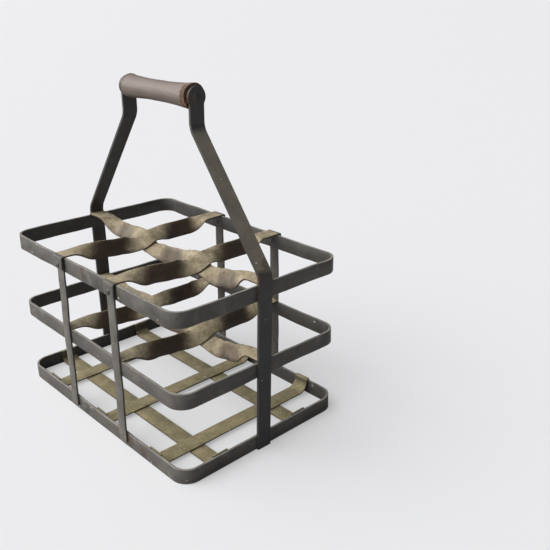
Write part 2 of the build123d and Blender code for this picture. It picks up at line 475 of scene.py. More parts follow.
cross_tilts = [
    (-92, 0), (-52, 80), (-34, 80), (-reach, cross_lean), (reach, cross_lean), (38, 78), (52, 78), (78, 0),
]
cross_heights = [
    (-92, 0), (-60, -5), (-34, -7.5), (-reach, -sag - rise),
    (reach, -sag + rise), (36, -5), (56, -5), (80, 0),
]
long_tilts = [(-122, 0), (-88, 62), (-74, 62)]
long_heights = [(-126, 0), (-94, -8), (-76, -8)]
for place, x in cross_x.items():
    before, after = x / mm - reach, x / mm + reach
    long_tilts += [(before, long_lean), (after, long_lean)]
    long_heights += [(before, -sag - stack + fall), (after, -sag - stack - fall)]
    if place == "left":
        long_tilts += [(-8, 68), (14, 68)]
        long_heights += [(-10, -15), (16, -12.5)]
long_tilts += [(84, 64), (98, 64), (128, 0)]
long_heights += [(76, -15.5), (92, -12.5), (132, 0)]


def eased(table, x):
    for (x0, v0), (x1, v1) in zip(table, table[1:]):
        if x <= x1:
            share = max(0.0, (x - x0) / (x1 - x0))
            return v0 + (v1 - v0) * share * share * (3 - 2 * share)
    return table[-1][1]


print(f"the long strap's middle passes {stack:.2f} mm under the cross straps'")

# %% [markdown]
# The guide itself is a plain poly curve with its Z axis kept up, so that a tilt of nought means flat. The
# folded ends of the top cross straps lean by a hair from the vertical, because a guide that keeps Z up can't
# run exactly straight down.

# %% Bend a strap along a guide
station = 1.5
face_step = 0.9 * mm


def guide(points):
    """A curve through points of (along, height, tilt in degrees), all in millimetres, along X."""
    curve = bpy.data.curves.new("guide", "CURVE")
    curve.dimensions = "3D"
    curve.twist_mode = "Z_UP"
    spline = curve.splines.new("POLY")
    spline.points.add(len(points) - 1)
    for point, (x, z, tilt) in zip(spline.points, points):
        point.co = (x * mm, 0, z * mm, 1)
        point.tilt = math.radians(tilt)
    helper = bpy.data.objects.new("guide", curve)
    bpy.context.scene.collection.objects.link(helper)
    length = sum(math.dist(a[:2], b[:2]) for a, b in zip(points, points[1:])) * mm
    return helper, length


def twisted_strap(name, points, width, end_width, taper):
    helper, length = guide(points)
    let_go()
    bpy.ops.mesh.primitive_grid_add(x_subdivisions=round(length / face_step), y_subdivisions=4, size=1)
    edit()
    bpy.ops.transform.resize(value=(length, width, 1))
    bpy.ops.transform.translate(value=(length / 2, 0, 0))
    leave_edit()
    piece = named(name)
    columns = sorted({round(v.co.x, 7) for v in piece.data.vertices})
    edit()
    for x in columns:
        share = min(x, length - x) / taper
        if end_width < width and share < 1:
            pick(piece, "VERT", lambda co: abs(co.x - x) < near)
            narrowed = (end_width + (width - end_width) * share) / width
            bpy.ops.transform.resize(value=(1, narrowed, 1))
    leave_edit()
    finish_with(piece, "SOLIDIFY", thickness=strap_gauge, offset=0, use_even_offset=True)
    finish_with(
        piece, "BEVEL", width=edge_round, segments=2, limit_method="ANGLE", angle_limit=sharp_angle
    )
    finish_with(piece, "CURVE", object=helper, deform_axis="POS_X")
    discard(helper)
    hold(piece)
    bpy.ops.object.shade_smooth_by_angle(angle=smooth_angle)
    return piece


print(f"a guide point every {station} mm, a row of faces every {face_step / mm:.1f} mm")

# %% [markdown]
# Two cross straps and one long strap part the bottles on each of the two upper tiers. Only the top cross
# straps are folded over the rim, where a rivet holds each end to the hoop and the upright behind it.

# %% The run of a guide and its folded lap
hoop_face = 101.0
fold_start = 96.0
lap_length = 13.0
lap_radius = 1.6
lap_out = 2.0 + half_gauge
lap_steps = 6


def run(end, tilts, heights, level):
    count = round(2 * end / station)
    places = [-end + 2 * end * i / count for i in range(count + 1)]
    return [(x, level + eased(heights, x), eased(tilts, x)) for x in places]


def with_laps(points, level):
    """Adds a quarter turn and a straight drop outside the rim to both ends of a run."""
    outside = hoop_face + lap_out
    centre_x, centre_z = outside - lap_radius, level - lap_radius
    fold = [math.radians(a) for a in (*range(0, 90, 9), 89.5)]
    arc = [(centre_x + lap_radius * math.sin(a), centre_z + lap_radius * math.cos(a), 0) for a in fold]
    drop = (lap_length - lap_radius) / lap_steps
    lap = arc + [(outside + 0.01 * k, centre_z - drop * k, 0) for k in range(1, lap_steps + 1)]
    return [(-x, z, tilt) for x, z, tilt in reversed(lap)] + points + lap


print(f"a lap reaches {hoop_face + lap_out:.1f} mm out and {lap_length:.0f} mm down")

# %% [markdown]
# The cross straps are a little narrower at their ends. They are made along X like the long straps, then
# turned by a quarter and moved to their place.

# %% Make the dividers
divider_width = 18 * mm
divider_end = 15.5 * mm
short_taper, lapped_taper = 10 * mm, 30 * mm
dividers = {}
for tier in ("middle", "top"):
    level = rim_z[tier] / mm + half_gauge
    for place, x in cross_x.items():
        node = f"{tier}_cross_strap_{place}"
        if tier == "top":
            points = with_laps(run(fold_start, cross_tilts, cross_heights, level), level)
            taper = lapped_taper
        else:
            points = run(hoop_face, cross_tilts, cross_heights, level)
            taper = short_taper
        piece = twisted_strap(f"{node}_twisted", points, divider_width, divider_end, taper)
        turn_and_move(piece, math.pi / 2, Vector((x, 0, 0)))
        compare(piece, node)
        dividers[node] = piece
    node = f"{tier}_long_strap"
    points = run(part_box(node)[1].x / mm, long_tilts, long_heights, level)
    piece = twisted_strap(f"{node}_twisted", points, divider_width, divider_width, short_taper)
    compare(piece, node)
    dividers[node] = piece

# %% [markdown]
# ## The rod and the rivets
# Both are pins whose ends were hammered over. A cylinder gives the shank; each end face is extruded, spread
# to the head's width and drawn in step by step into a low dome. A fine Displace then leaves the small flats
# of the hammer, which a perfect dome would lack. The ring under the lower head faces up as the upper cap
# does, so the second pick takes both, and the lower head comes out wider than the upper, with a second rim.

# %% Make a hammered pin
hammer = bpy.data.textures.new("hammer", "CLOUDS")
hammer.noise_scale = 0.0016
flange = 0.02 * mm
dome_steps = 6
dome_angle = math.radians(80)
hair = 0.05 * mm


def hammered_pin(name, shank, length, head, height):
    """A pin along Z with its middle at the origin and a domed head beyond each end of its shank."""
    let_go()
    bpy.ops.mesh.primitive_cylinder_add(vertices=40, radius=shank, depth=length)
    piece = named(name)
    edit()
    for end in (-1, 1):
        pick(piece, "FACE", lambda middle, normal: normal.z * end > 0.9)
        bpy.ops.mesh.extrude_region_move(TRANSFORM_OT_translate={"value": (0, 0, end * flange)})
        bpy.ops.transform.resize(value=(head / shank, head / shank, 1))
        width, raised = 1.0, 0.0
        for step in range(1, dome_steps + 1):
            angle = step / dome_steps * dome_angle
            target, level = math.cos(angle), math.sin(angle) * height
            lift = (0, 0, end * (level - raised))
            bpy.ops.mesh.extrude_region_move(TRANSFORM_OT_translate={"value": lift})
            bpy.ops.transform.resize(value=(target / width, target / width, 1))
            width, raised = target, level
    face_outwards()
    finish_with(
        piece, "DISPLACE", texture=hammer, texture_coords="LOCAL", strength=-0.25 * mm, mid_level=0.35
    )
    hold(piece)
    bpy.ops.object.shade_smooth_by_angle(angle=sharp_angle)
    return piece


print(f"domes of {dome_steps} steps, hammered with marks {hammer.noise_scale / mm:.1f} mm wide")

# %% [markdown]
# One rivet is made and copied, each copy with its own mesh, to the four laps. The copies are joined, since
# the frame keeps all four rivets in one node. The heads are drawn a little smaller than the frame's.

# %% Set the rivets
head_share = 0.97
rivet_low, rivet_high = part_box("lap_rivets")
rivet_head = (rivet_high.z - rivet_low.z) / 2 * head_share
rivet_radius = 1.6 * mm
rivet_rise = 1.25 * mm
rivet_inner = 98.6 * mm
rivet_length = rivet_high.y - rivet_rise - hair - rivet_inner
rivet_z = (rivet_low.z + rivet_high.z) / 2
pattern = hammered_pin("rivet_pattern", rivet_radius, rivet_length, rivet_head, rivet_rise)
copies = []
for x in cross_x.values():
    for side in (-1, 1):
        copy = pattern.copy()
        copy.data = pattern.data.copy()
        bpy.context.scene.collection.objects.link(copy)
        copy.location = (x, side * (rivet_inner + rivet_length / 2), rivet_z)
        copy.rotation_euler = (math.pi / 2, 0, 0)
        copies.append(copy)
discard(pattern)
let_go()
for copy in copies:
    copy.select_set(True)
bpy.context.view_layer.objects.active = copies[0]
bpy.ops.object.join()
rivets = named("hammered_rivets")
compare(rivets, "lap_rivets")

# %% [markdown]
# The rod is the same kind of pin, turned to lie along X. Its shank is thinner by the depth of the hammer
# marks, so that no mark stands out of it into the grip's bore.

# %% Set the rod
rod_head = (rod_high.z - rod_low.z) / 2 * head_share
rod_rise = 1.15 * mm
rod_length = rod_high.x - rod_low.x - 2 * (rod_rise + hair)
hammer_marks = 0.1 * mm
rod = hammered_pin("hammered_rod", rod_radius - hammer_marks, rod_length, rod_head, rod_rise)
hold(rod)
rod.rotation_euler = (0, math.pi / 2, 0)
rod.location = (rod_low + rod_high) / 2
rod = named("hammered_rod")
compare(rod, "handle_rod")

# %% [markdown]
# ## The grip
# The grip was turned on a lathe, so it starts as an open cylinder. Its long edges are subdivided into rings,
# and each ring is drawn in a little, most at the waist. The ends are closed down to the bore and the bore is
# bridged through. The far rim is well rounded by hands. The near rim has lost a piece, and the break is cut
# with a Boolean, by a ball roughened with a clouds pattern so that the wood looks torn.

# %% Turn the grip
grip_low, grip_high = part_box("wooden_grip")
grip_middle = (grip_low + grip_high) / 2
grip_end = (grip_high.z - grip_low.z) / 2
grip_far_end = 12.2 * mm
grip_waist = 10.1 * mm
bore_radius = rod_radius + 0.06 * mm
grip_rings = 44
ring_play = 2 * near
let_go()
bpy.ops.mesh.primitive_cylinder_add(
    vertices=96, radius=grip_end, depth=grip_high.x - grip_low.x, end_fill_type="NOTHING",
    location=grip_middle, rotation=(0, math.pi / 2, 0),
)
grip = named("turned_grip")
edit()
pick(grip, "EDGE", lambda a, b: abs(a.x - b.x) > 1 * mm)
bpy.ops.mesh.subdivide(number_cuts=grip_rings)
leave_edit()
rings = sorted({round(v.co.x, 6) for v in grip.data.vertices})
half_grip = (grip_high.x - grip_low.x) / 2
edit()
for x in rings:
    share = (x - grip_middle.x) / half_grip
    end_radius = grip_end if share > 0 else grip_far_end
    wide = (grip_waist + (end_radius - grip_waist) * share ** 2) / grip_end
    pick(grip, "VERT", lambda co: abs(co.x - x) < ring_play)
    bpy.ops.transform.resize(value=(1, wide, wide))
for end_x, rim_radius in ((rings[0], grip_far_end), (rings[-1], grip_end)):
    pick(grip, "EDGE", lambda a, b: max(abs(a.x - end_x), abs(b.x - end_x)) < ring_play)
    bpy.ops.mesh.extrude_edges_move()
    bpy.ops.transform.resize(value=(1, bore_radius / rim_radius, bore_radius / rim_radius))
leave_edit()
print(len(rings), "rings, ends drawn in to the bore")

# %% [markdown]
# The two small rings that are left open at the bore are bridged, which makes the bore itself. The rims are
# the only edges at the ends that lie farther out than the waist, so they are picked by that and beveled.

# %% Bridge the bore and round the rims
far_rounding, near_rounding = 3.4 * mm, 0.7 * mm


def from_axis(point):
    return math.hypot(point.y, point.z - rod_z)


edit()
pick(grip, "EDGE", lambda a, b: max(from_axis(a), from_axis(b)) < bore_radius * 1.05)
bpy.ops.mesh.bridge_edge_loops()
for end_x, roundness in ((rings[0], far_rounding), (rings[-1], near_rounding)):
    pick(
        grip, "EDGE",
        lambda a, b: max(abs(a.x - end_x), abs(b.x - end_x)) < ring_play
        and min(from_axis(a), from_axis(b)) > grip_waist,
    )
    bpy.ops.mesh.bevel(offset=roundness, segments=7, affect="EDGES")
face_outwards()
compare(grip, "wooden_grip")

# %% [markdown]
# Years of hands have worn the wood unevenly. A Displace with a broad pattern takes up to 0.7 mm off, but
# spares the bore, so that the grip still runs true on its rod.

# %% Wear the grip and break its near rim
worn = bpy.data.textures.new("worn_by_hands", "CLOUDS")
worn.noise_scale = 0.016
torn = bpy.data.textures.new("torn_wood", "CLOUDS")
torn.noise_scale = 0.0022
torn.noise_depth = 3
wear = 0.8 * mm
splinter_depth = 2.2 * mm
outside = grip.vertex_groups.new(name="outside")
for v in grip.data.vertices:
    depth = (from_axis(v.co) - bore_radius) / (grip_waist - bore_radius)
    outside.add([v.index], min(1.0, max(0.0, depth)), "REPLACE")
finish_with(
    grip, "DISPLACE", texture=worn, texture_coords="LOCAL", strength=-wear, mid_level=0.1,
    vertex_group="outside",
)
chip_middle = Vector((grip_high.x + 3.4 * mm, -24.4 * mm, rod_z - 9 * mm))
chip_radius = 14.7 * mm
let_go()
bpy.ops.mesh.primitive_ico_sphere_add(subdivisions=5, radius=chip_radius, location=chip_middle)
breaker = named("breaker")
finish_with(breaker, "DISPLACE", texture=torn, texture_coords="LOCAL", strength=splinter_depth)
take_away(grip, breaker)
hold(grip)
bpy.ops.object.shade_smooth_by_angle(angle=math.radians(32))
compare(grip, "wooden_grip")

# %% [markdown]
# ## Node groups
# Everything that ages iron or wood here is a node group with named inputs: worn edges, settled dust, rust
# patches, pits, pale flecks and slow changes of tone. They read Object coordinates, so the marks stay on the
# metal, and they put out only masks and heights. The shaders themselves stay in the materials.

# %% Node helpers
def put(tree, kind, values=None, **settings):
    """Adds a node, sets it, and fills its inputs with numbers or with links to other nodes' sockets."""
    made = tree.nodes.new(kind)
    for key, value in settings.items():
        setattr(made, key, value)
    for key, value in (values or {}).items():
        if isinstance(value, bpy.types.NodeSocket):
            tree.links.new(value, made.inputs[key])
        else:
            made.inputs[key].default_value = value
    return made


def start_group(name, inputs, outputs):
    tree = bpy.data.node_groups.new(name, "ShaderNodeTree")
    for label, default in inputs.items():
        socket = tree.interface.new_socket(label, in_out="INPUT", socket_type="NodeSocketFloat")
        socket.default_value = default
    for label in outputs:
        tree.interface.new_socket(label, in_out="OUTPUT", socket_type="NodeSocketFloat")
    given = tree.nodes.new("NodeGroupInput").outputs
    result = tree.nodes.new("NodeGroupOutput").inputs
    here = put(tree, "ShaderNodeTexCoord").outputs["Object"]
    return tree, given, result, here


def noise(tree, where, scale, detail=4.0, roughness=0.55, distortion=0.0):
    values = {
        "Vector": where, "Scale": scale, "Detail": detail, "Roughness": roughness, "Distortion": distortion,
    }
    return put(tree, "ShaderNodeTexNoise", values).outputs["Fac"]


def ramp(tree, value, low, high, to_low=0.0, to_high=1.0):
    """Eases a value from one range to another and clamps it."""
    values = {"Value": value, "From Min": low, "From Max": high, "To Min": to_low, "To Max": to_high}
    return put(tree, "ShaderNodeMapRange", values, interpolation_type="SMOOTHSTEP").outputs["Result"]


def maths(tree, operation, first, second=0.5):
    return put(tree, "ShaderNodeMath", {0: first, 1: second}, operation=operation).outputs[0]


def count_nodes(tree):
    print(f"{tree.name}: {len(tree.nodes)} nodes")


print("node helpers: put, start_group, noise, ramp, maths, count_nodes")

# %% [markdown]
# Worn edges come from ambient occlusion turned inwards: just inside a convex edge, rays soon meet the next
# face. A second noise breaks the line up, because bare metal never shows evenly along an edge.

# %% Worn edges
worn_edges, given, result, here = start_group(
    "worn_edges", {"Width": 0.001, "Scale": 120.0, "Cover": 0.5, "Strength": 1.0}, ["Mask"]
)
inner = put(
    worn_edges, "ShaderNodeAmbientOcclusion", {"Distance": given["Width"]},
    inside=True, only_local=True, samples=8,
).outputs["AO"]
edge = ramp(worn_edges, inner, 0.9, 0.45)
patch = noise(worn_edges, here, given["Scale"], 5.0)
threshold = maths(worn_edges, "SUBTRACT", 1.0, given["Cover"])
broken = ramp(worn_edges, patch, threshold, maths(worn_edges, "ADD", threshold, 0.16))
mask = maths(worn_edges, "MULTIPLY", maths(worn_edges, "MULTIPLY", edge, broken), given["Strength"])
worn_edges.links.new(mask, result["Mask"])
count_nodes(worn_edges)

# %% [markdown]
# Dust settles by slope: all of it on a flat strap, none on an upright one. A noise thins it where it has
# been rubbed away, so the border between dusty and bare iron wanders.

# %% Settled dust
settled_dust, given, result, here = start_group(
    "settled_dust", {"Bare slope": 0.2, "Full slope": 0.75, "Scale": 60.0, "Patchiness": 0.5}, ["Mask"]
)
slope = put(
    settled_dust, "ShaderNodeSeparateXYZ", {0: put(settled_dust, "ShaderNodeNewGeometry").outputs["Normal"]}
).outputs["Z"]
drift = maths(settled_dust, "SUBTRACT", noise(settled_dust, here, given["Scale"], 6.0))
wander = maths(settled_dust, "MULTIPLY", drift, 0.6)
wandering = maths(settled_dust, "ADD", slope, maths(settled_dust, "MULTIPLY", wander, given["Patchiness"]))
lying = ramp(settled_dust, wandering, given["Bare slope"], given["Full slope"])
fine_scale = maths(settled_dust, "MULTIPLY", given["Scale"], 4.0)
rubbed = ramp(settled_dust, noise(settled_dust, here, fine_scale, 8.0, 0.7), 0.3, 0.62)
kept = put(
    settled_dust, "ShaderNodeMix", {"Factor": given["Patchiness"], "A": 1.0, "B": rubbed}, data_type="FLOAT"
).outputs["Result"]
settled_dust.links.new(maths(settled_dust, "MULTIPLY", lying, kept), result["Mask"])
count_nodes(settled_dust)

# %% [markdown]
# Rust comes in patches with a ragged border, and its tone changes inside a patch. Cover says how much of
# the strap is rusty.

# %% Rust patches
rust_patches, given, result, here = start_group(
    "rust_patches", {"Scale": 45.0, "Cover": 0.3}, ["Mask", "Tone"]
)
ragged = noise(rust_patches, here, given["Scale"], 9.0, 0.68, 0.4)
threshold = maths(rust_patches, "SUBTRACT", 0.72, maths(rust_patches, "MULTIPLY", given["Cover"], 0.4))
patches = ramp(rust_patches, ragged, threshold, maths(rust_patches, "ADD", threshold, 0.1))
rust_patches.links.new(patches, result["Mask"])
tone = noise(rust_patches, here, maths(rust_patches, "MULTIPLY", given["Scale"], 5.0), 6.0, 0.65)
rust_patches.links.new(ramp(rust_patches, tone, 0.3, 0.7), result["Tone"])
count_nodes(rust_patches)

# %% [markdown]
# Old iron is pitted. The height adds a soft hammered roll, a fine grain and small round pits, and the same
# pits are put out as a mask, to darken them.

# %% Pits and grain
pitted, given, result, here = start_group(
    "pitted_iron", {"Pit scale": 420.0, "Pit share": 0.25}, ["Height", "Pits"]
)
cells = put(pitted, "ShaderNodeTexVoronoi", {"Vector": here, "Scale": given["Pit scale"], "Randomness": 1.0})
round_pit = ramp(pitted, cells.outputs["Distance"], 0.34, 0.1)
share = put(pitted, "ShaderNodeSeparateColor", {0: cells.outputs["Color"]}).outputs[0]
chosen = maths(pitted, "LESS_THAN", share, given["Pit share"])
pits = maths(pitted, "MULTIPLY", round_pit, chosen)
roll = maths(pitted, "MULTIPLY", noise(pitted, here, 90.0, 3.0), 1.6)
grain = maths(pitted, "MULTIPLY", noise(pitted, here, 1500.0, 6.0, 0.7), 0.5)
height = maths(pitted, "SUBTRACT", maths(pitted, "ADD", roll, grain), maths(pitted, "MULTIPLY", pits, 0.8))
pitted.links.new(height, result["Height"])
pitted.links.new(pits, result["Pits"])
count_nodes(pitted)

# %% [markdown]
# Pale flecks are what remains of lime and old splashes: a few tiny spots, far apart, each with its own size.
# A Voronoi cell gives each spot its place, and the cell's random colour says whether it shows, and how big.

# %% Pale flecks
flecks, given, result, here = start_group("pale_flecks", {"Scale": 150.0, "Share": 0.1}, ["Mask"])
cells = put(flecks, "ShaderNodeTexVoronoi", {"Vector": here, "Scale": given["Scale"], "Randomness": 1.0})
spot = put(flecks, "ShaderNodeSeparateColor", {0: cells.outputs["Color"]})
chosen = maths(flecks, "LESS_THAN", spot.outputs[0], given["Share"])
size = maths(flecks, "MULTIPLY", spot.outputs[1], 0.16)
rough = maths(flecks, "MULTIPLY", noise(flecks, here, 1400.0, 3.0), 0.14)
reach_out = maths(flecks, "ADD", size, maths(flecks, "SUBTRACT", rough, 0.04))
spotted = maths(flecks, "LESS_THAN", cells.outputs["Distance"], reach_out)
flecks.links.new(maths(flecks, "MULTIPLY", chosen, spotted), result["Mask"])
count_nodes(flecks)

# %% [markdown]
# No iron is one colour. A slow noise, stretched about its middle by the contrast, shifts the tone from place
# to place, and it serves soot, scuffs and dust too.

# %% Slow tone
tone_group, given, result, here = start_group("slow_tone", {"Scale": 16.0, "Contrast": 1.0}, ["Tone"])
slow = noise(tone_group, here, given["Scale"], 5.0, 0.6, 0.3)
centred = maths(tone_group, "MULTIPLY", maths(tone_group, "SUBTRACT", slow), given["Contrast"])
tone_group.links.new(maths(tone_group, "ADD", centred, 0.5), result["Tone"])
count_nodes(tone_group)

# %% [markdown]
# ## The iron finishes
# All straps are the same old iron, aged differently. The outer faces are smooth and grey, the straps that
# lie flat carry tan dust over rust, and the arms are dark and handled. One function will lay the colours in
# the order in which they came: metal, soot, scuffs, rust, dust, stains, pits, worn edges and flecks.

# %% Material helpers
def use(tree, group, **values):
    made = put(tree, "ShaderNodeGroup", node_tree=group)
    for key, value in values.items():
        made.inputs[key.replace("_", " ")].default_value = value
    return made.outputs


def blend(tree, share, under, over):
    return put(
        tree, "ShaderNodeMix", {"Factor": share, "A": under, "B": over}, data_type="RGBA"
    ).outputs["Result"]


def start_material(name):
    made = bpy.data.materials.new(name)
    made.use_nodes = True
    return made, made.node_tree, made.node_tree.nodes["Principled BSDF"]


def colour(r, g, b):
    """A colour given as it looks on a screen, from 0 to 255, turned into light."""
    def light(v):
        v /= 255
        return v / 12.92 if v <= 0.04045 else ((v + 0.055) / 1.055) ** 2.4
    return (light(r), light(g), light(b), 1)


def pair(darker, lighter):
    return colour(*darker), colour(*lighter)


print("mid grey on a screen is", round(colour(128, 128, 128)[0], 3), "in light")

# %% [markdown]
# Some rust has a cause: water stood in the butt joint, in the bend of the near arm and against the floor at
# the corner. A stain is a distance from one point, roughened by noise, so it stays where its cause is.

# %% Stains with a cause
stain_group, given, result, here = start_group(
    "local_stain", {"X": 0.0, "Y": 0.0, "Z": 0.0, "Radius": 0.01}, ["Mask"]
)
centre = put(stain_group, "ShaderNodeCombineXYZ", {0: given["X"], 1: given["Y"], 2: given["Z"]}).outputs[0]
away = put(stain_group, "ShaderNodeVectorMath", {0: here, 1: centre}, operation="DISTANCE").outputs["Value"]
share = maths(stain_group, "DIVIDE", away, given["Radius"])
ragged = maths(stain_group, "MULTIPLY", noise(stain_group, here, 320.0, 7.0, 0.7), 1.9)
reach_of = maths(stain_group, "ADD", share, maths(stain_group, "SUBTRACT", ragged, 0.95))
stain_group.links.new(ramp(stain_group, reach_of, 0.95, 0.35), result["Mask"])
count_nodes(stain_group)

# %% [markdown]
# Each layer is a mix of the colours below it with its own, by the mask of one group. The laps on the rim are
# grey like the hoop that they lie on, not dusty like the rest of their strap, so an iron can be greyed beyond
# the hoop's outer face. The faces that look inwards get painted shade: a dark colour stands in for the shade
# inside.

# %% An iron in layers
pale = colour(176, 172, 160)
soot = colour(38, 35, 30)
scuff_grey = colour(132, 129, 119)
# The dark colour of the painted shade on faces that look inwards.
inner_shade_colour = colour(44, 42, 39)
pit_dirt = colour(30, 24, 19)
hoop_metal = pair((58, 55, 50), (94, 90, 82))
rust = pair((50, 37, 28), (86, 62, 43))


def iron(
    name, metal, dust, edge, tone_scale, rust_cover, slopes, patchiness, edge_cover, gloss,
    stains=(), grey_beyond=None, scuffed=0.0, painted_inner_shade=0.0, wiped_above=None,
):
    """metal and dust are each a pair of colours, and slopes are where dust starts and is full."""
    made, tree, shader = start_material(name)
    tone = use(tree, tone_group, Scale=tone_scale, Contrast=2.3)["Tone"]
    rusty = use(tree, rust_patches, Scale=tone_scale * 3, Cover=rust_cover)
    dusty = use(
        tree, settled_dust, Bare_slope=slopes[0], Full_slope=slopes[1],
        Scale=tone_scale * 4, Patchiness=patchiness,
    )["Mask"]
    spot = put(tree, "ShaderNodeTexCoord").outputs["Object"]
    _, across, height = put(tree, "ShaderNodeSeparateXYZ", {0: spot}).outputs
    if wiped_above:
        dusty = maths(tree, "MULTIPLY", dusty, ramp(tree, height, wiped_above + 4 * mm, wiped_above - 4 * mm))
    surface = use(tree, pitted)
    worn = use(tree, worn_edges, Cover=edge_cover)["Mask"]
    fleck = use(tree, flecks)["Mask"]
    body = blend(tree, tone, metal[0], metal[1])
    grime = use(tree, tone_group, Scale=tone_scale * 3.5, Contrast=3.2)["Tone"]
    body = blend(tree, ramp(tree, grime, 0.6, 1.15, 0.0, 0.5), body, soot)
    body = blend(tree, ramp(tree, grime, 0.4, -0.15, 0.0, scuffed), body, scuff_grey)
    rust_colour = blend(tree, rusty["Tone"], rust[0], rust[1])
    body = blend(tree, rusty["Mask"], body, rust_colour)
    dust_tone = use(tree, tone_group, Scale=tone_scale * 2.5, Contrast=2.0)["Tone"]
    body = blend(tree, dusty, body, blend(tree, dust_tone, dust[0], dust[1]))
    for x, y, z, radius in stains:
        stain = use(tree, stain_group, X=x * mm, Y=y * mm, Z=z * mm, Radius=radius * mm)["Mask"]
        body = blend(tree, maths(tree, "MULTIPLY", stain, 0.7), body, rust_colour)
    # Painted shade: faces that look inwards, towards the crate's middle, are darkened to stand in for the
    # shade there.
    if painted_inner_shade:
        facing = put(tree, "ShaderNodeNewGeometry").outputs["Normal"]
        outward = put(
            tree, "ShaderNodeVectorMath", {0: spot, 1: facing}, operation="DOT_PRODUCT"
        ).outputs["Value"]
        body = blend(tree, ramp(tree, outward, 0.0, -0.02, 0.0, painted_inner_shade), body, inner_shade_colour)
    if grey_beyond:
        outside = maths(tree, "ABSOLUTE", across)
        outer = ramp(tree, outside, grey_beyond - 0.4 * mm, grey_beyond + 0.4 * mm)
        body = blend(tree, outer, body, blend(tree, tone, hoop_metal[0], hoop_metal[1]))
    body = blend(tree, maths(tree, "MULTIPLY", surface["Pits"], 0.65), body, pit_dirt)
    body = blend(tree, worn, body, edge)
    body = blend(tree, fleck, body, pale)
    tree.links.new(body, shader.inputs["Base Color"])
    matt = maths(tree, "MAXIMUM", dusty, rusty["Mask"])
    rough = ramp(tree, maths(tree, "ADD", matt, maths(tree, "MULTIPLY", tone, 0.3)), 0.0, 1.2, gloss, 0.92)
    tree.links.new(rough, shader.inputs["Roughness"])
    bump = put(tree, "ShaderNodeBump", {"Strength": 0.35, "Distance": 0.0004, "Height": surface["Height"]})
    tree.links.new(bump.outputs["Normal"], shader.inputs["Normal"])
    shader.inputs["Metallic"].default_value = 0.0
    shader.inputs["IOR"].default_value = 1.6
    return made


print("rust from", [round(v, 3) for v in rust[0][:3]], "to", [round(v, 3) for v in rust[1][:3]])

# %% [markdown]
# The six finishes differ only in their numbers. Each stain is a place and a radius in millimetres. Two are at
# the butt joint, two low on the front of the bottom hoop and one under the top hoop's left lap; on the right
# arm, two are at the lower bend and one is at the eye.

# %% Build the irons
grey_dust = pair((96, 93, 86), (134, 130, 120))
joint_stains = [(-2.5, -101, 170, 5), (-2.5, -101, 163, 5)]
hoop_stains = [(58, -101, 9, 11), (82, -101, 7, 9), (-49, -101, 158, 4)]
arm_stains = [(146, -8, 176, 11), (141, 2, 188, 8), (51.5, -10.5, 328, 9)]
upright_slopes = (0.45, 0.95)
# The hoop and upright irons paint shade on their inward faces.
irons = {
    "hoop_iron": dict(
        metal=hoop_metal, dust=grey_dust, edge=colour(168, 164, 154), tone_scale=22, rust_cover=0.12,
        slopes=upright_slopes, patchiness=0.45, edge_cover=0.62, gloss=0.42,
        stains=joint_stains + hoop_stains, scuffed=0.32, painted_inner_shade=0.6,
    ),
    "upright_iron": dict(
        metal=pair((70, 67, 61), (108, 103, 94)), dust=grey_dust, edge=colour(160, 156, 146),
        tone_scale=26, rust_cover=0.14, slopes=upright_slopes, patchiness=0.45, edge_cover=0.5,
        gloss=0.42, scuffed=0.25, painted_inner_shade=0.5,
    ),
    "arm_iron": dict(
        metal=pair((44, 42, 40), (62, 60, 56)), dust=pair((92, 87, 76), (122, 115, 100)),
        edge=colour(86, 82, 76), tone_scale=18, rust_cover=0.12, slopes=(0.2, 0.72), patchiness=0.15,
        edge_cover=0.3, gloss=0.4, stains=arm_stains, wiped_above=304 * mm,
    ),
    "divider_iron": dict(
        metal=pair((42, 35, 27), (84, 64, 42)), dust=pair((92, 82, 56), (180, 166, 136)),
        edge=colour(150, 138, 110), tone_scale=30, rust_cover=0.46, slopes=(0.2, 0.86), patchiness=0.55,
        edge_cover=0.3, gloss=0.5, grey_beyond=rivet_inner + 2 * mm,
    ),
    "floor_iron": dict(
        metal=pair((52, 46, 36), (82, 72, 52)), dust=pair((104, 95, 66), (154, 142, 106)),
        edge=colour(96, 70, 44), tone_scale=34, rust_cover=0.36, slopes=(0.05, 0.7), patchiness=0.4,
        edge_cover=0.45, gloss=0.5,
    ),
    "rivet_iron": dict(
        metal=pair((46, 42, 36), (72, 66, 56)), dust=grey_dust, edge=colour(96, 90, 80), tone_scale=90,
        rust_cover=0.45, slopes=(0.7, 0.98), patchiness=0.4, edge_cover=0.3, gloss=0.6,
    ),
}
finishes = {name: iron(name, **values) for name, values in irons.items()}
print("irons:", ", ".join(finishes))

# %% [markdown]
# ## The grip's wood
# The grip has long lost its varnish. Handling has greyed and polished it, with the grain still running along
# it in faint warm streaks, fine dark checks, and a soft shine. The top, where the palm rests, is darker and
# redder. Where the rim broke away, the wood is orange-brown, splintered and dull. The grain is noise
# stretched along X by multiplying the coordinates.

# %% Wood grain
wood_grain, given, result, here = start_group(
    "wood_grain", {"Scale": 260.0, "Stretch": 0.045}, ["Grain", "Checks"]
)
stretched = put(wood_grain, "ShaderNodeCombineXYZ", {0: given["Stretch"], 1: 1.0, 2: 1.0}).outputs[0]
along = put(wood_grain, "ShaderNodeVectorMath", {0: here, 1: stretched}, operation="MULTIPLY").outputs[0]
grain = noise(wood_grain, along, given["Scale"], 8.0, 0.62, 0.6)
wood_grain.links.new(ramp(wood_grain, grain, 0.28, 0.72), result["Grain"])
lines = noise(wood_grain, along, maths(wood_grain, "MULTIPLY", given["Scale"], 3.2), 3.0, 0.5, 0.2)
wood_grain.links.new(ramp(wood_grain, lines, 0.64, 0.72), result["Checks"])
count_nodes(wood_grain)
